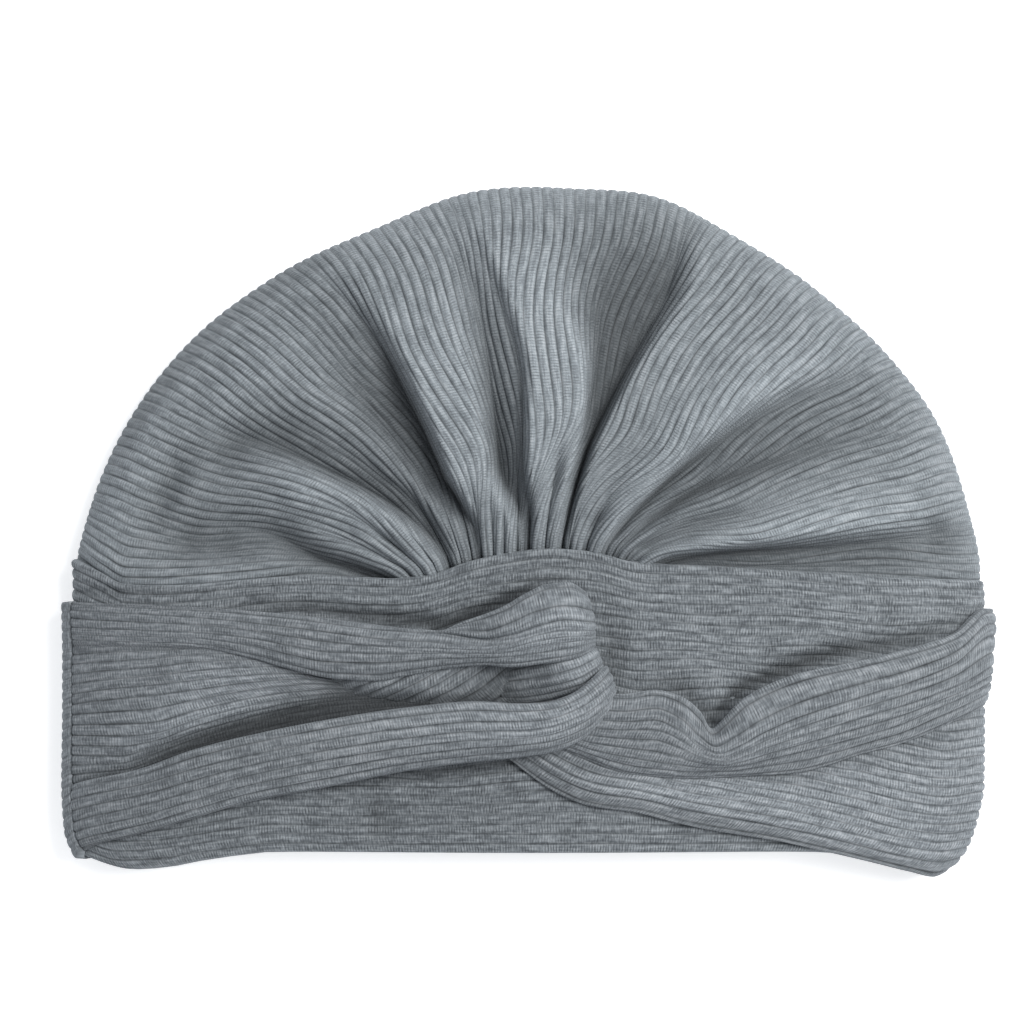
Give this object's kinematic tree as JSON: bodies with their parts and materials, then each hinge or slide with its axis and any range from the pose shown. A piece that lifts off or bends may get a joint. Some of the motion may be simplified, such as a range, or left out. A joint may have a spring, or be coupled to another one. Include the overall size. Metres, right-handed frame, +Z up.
{
  "type": "turban headwrap",
  "caption": "Soft ribbed-knit turban headwrap lying flat on its back, with a gathered crown fanning from a front band and an off-centre twisted knot.",
  "frame": {"origin": "centre of the overall box, on the surface that the hat lies on", "axes": "+X to the wearer's left side, +Y to the crown's top, +Z up, out of the front of the hat, which lies on its back"},
  "size_m": [0.2604, 0.1934, 0.0399],
  "materials": {
    "crown_knit": "matt blue-grey heather rib knit",
    "band_knit": "matt blue-grey heather rib knit",
    "wrap_knit": "matt blue-grey heather rib knit"
  },
  "bodies": {
    "root": {"crown": "crown_knit", "band": "band_knit", "left_wrap": "wrap_knit", "right_wrap": "wrap_knit", "back_wrap": "wrap_knit"}
  },
  "joints": []
}
